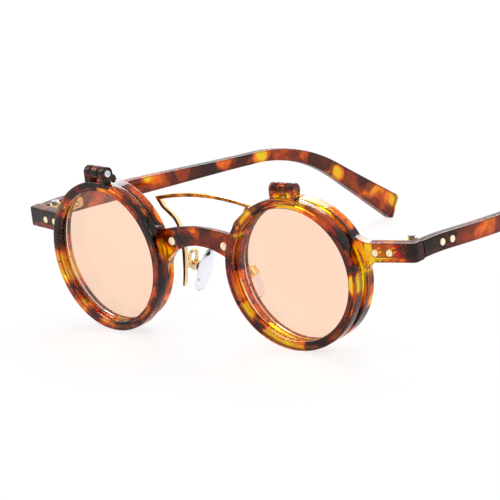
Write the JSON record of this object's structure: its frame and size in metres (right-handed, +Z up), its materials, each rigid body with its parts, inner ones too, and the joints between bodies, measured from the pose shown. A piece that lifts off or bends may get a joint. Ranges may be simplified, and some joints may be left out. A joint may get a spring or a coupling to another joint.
{
  "type": "flip-up round sunglasses",
  "caption": "Round full-rim eyeglasses with tinted lens rings that flip up on hinges above the rims, a wire brow bar, rocking nose pads and folding temples.",
  "frame": {"origin": "centre of the bounding box at the table plane, with the open pair standing on its flip rings and temple tips", "axes": "+X to the wearer's left, +Y back along the temples towards the ears, +Z up"},
  "size_m": [0.1402, 0.1582, 0.0469],
  "materials": {
    "tortoise": "polished translucent tortoiseshell acetate, dark brown with amber and yellow patches",
    "tinted_lens": "polished peach tinted lens",
    "clear_lens": "polished clear lens",
    "gold": "polished pale gold plating",
    "brass": "satin plated hinge metal",
    "steel": "polished screw steel",
    "silicone": "clear moulded silicone"
  },
  "bodies": {
    "front": {"bridge_rivet_left": "gold", "bridge_rivet_right": "gold", "end_rivet_inner_left": "gold", "end_rivet_inner_right": "gold", "end_rivet_outer_left": "gold", "end_rivet_outer_right": "gold", "front_frame": "tortoise", "hinge_leaf_front_left": "brass", "hinge_leaf_front_right": "brass", "hinge_screw_left": "steel", "hinge_screw_right": "steel", "main_lens_left": "clear_lens", "main_lens_right": "clear_lens", "nose_bridge_wire": "gold", "pad_arm_left": "gold", "pad_arm_right": "gold", "pad_box_left": "gold", "pad_box_right": "gold", "pad_screw_left": "gold", "pad_screw_right": "gold"},
    "flip_left": {"flip_hinge_screw_left": "steel", "flip_lens_left": "tinted_lens", "flip_ring_left": "tortoise"},
    "flip_right": {"flip_hinge_screw_right": "steel", "flip_lens_right": "tinted_lens", "flip_ring_right": "tortoise"},
    "temple_left": {"hinge_leaf_temple_left": "brass", "temple_left": "tortoise", "temple_rivet_front_left": "gold", "temple_rivet_rear_left": "gold"},
    "temple_right": {"hinge_leaf_temple_right": "brass", "temple_right": "tortoise", "temple_rivet_front_right": "gold", "temple_rivet_rear_right": "gold"},
    "pad_left": {"nose_pad_left": "silicone", "pad_insert_left": "steel"},
    "pad_right": {"nose_pad_right": "silicone", "pad_insert_right": "steel"}
  },
  "joints": [
    {"name": "flip_hinge_left", "type": "hinge", "parent": "front", "child": "flip_left", "pos_m": [0.0338, -0.07632, 0.04498], "axis": [-0.9954, -0.0955, -0.0082], "range_deg": [0, 110]},
    {"name": "flip_hinge_right", "type": "hinge", "parent": "front", "child": "flip_right", "pos_m": [-0.0338, -0.07632, 0.04498], "axis": [-0.9954, 0.0955, 0.0082], "range_deg": [0, 110]},
    {"name": "temple_hinge_left", "type": "hinge", "parent": "front", "child": "temple_left", "pos_m": [0.0648, -0.06145, 0.02864], "axis": [0, -0.0856, 0.9963], "range_deg": [0, 85]},
    {"name": "temple_hinge_right", "type": "hinge", "parent": "front", "child": "temple_right", "pos_m": [-0.0648, -0.06145, 0.02864], "axis": [0, 0.0856, -0.9963], "range_deg": [0, 78]},
    {"name": "pad_rock_left", "type": "hinge", "parent": "front", "child": "pad_left", "pos_m": [0.0105, -0.06469, 0.01843], "axis": [0.0197, 0.964, 0.2651], "range_deg": [-8, 8]},
    {"name": "pad_rock_right", "type": "hinge", "parent": "front", "child": "pad_right", "pos_m": [-0.0105, -0.06469, 0.01843], "axis": [-0.0197, 0.964, 0.2651], "range_deg": [-8, 8]}
  ]
}
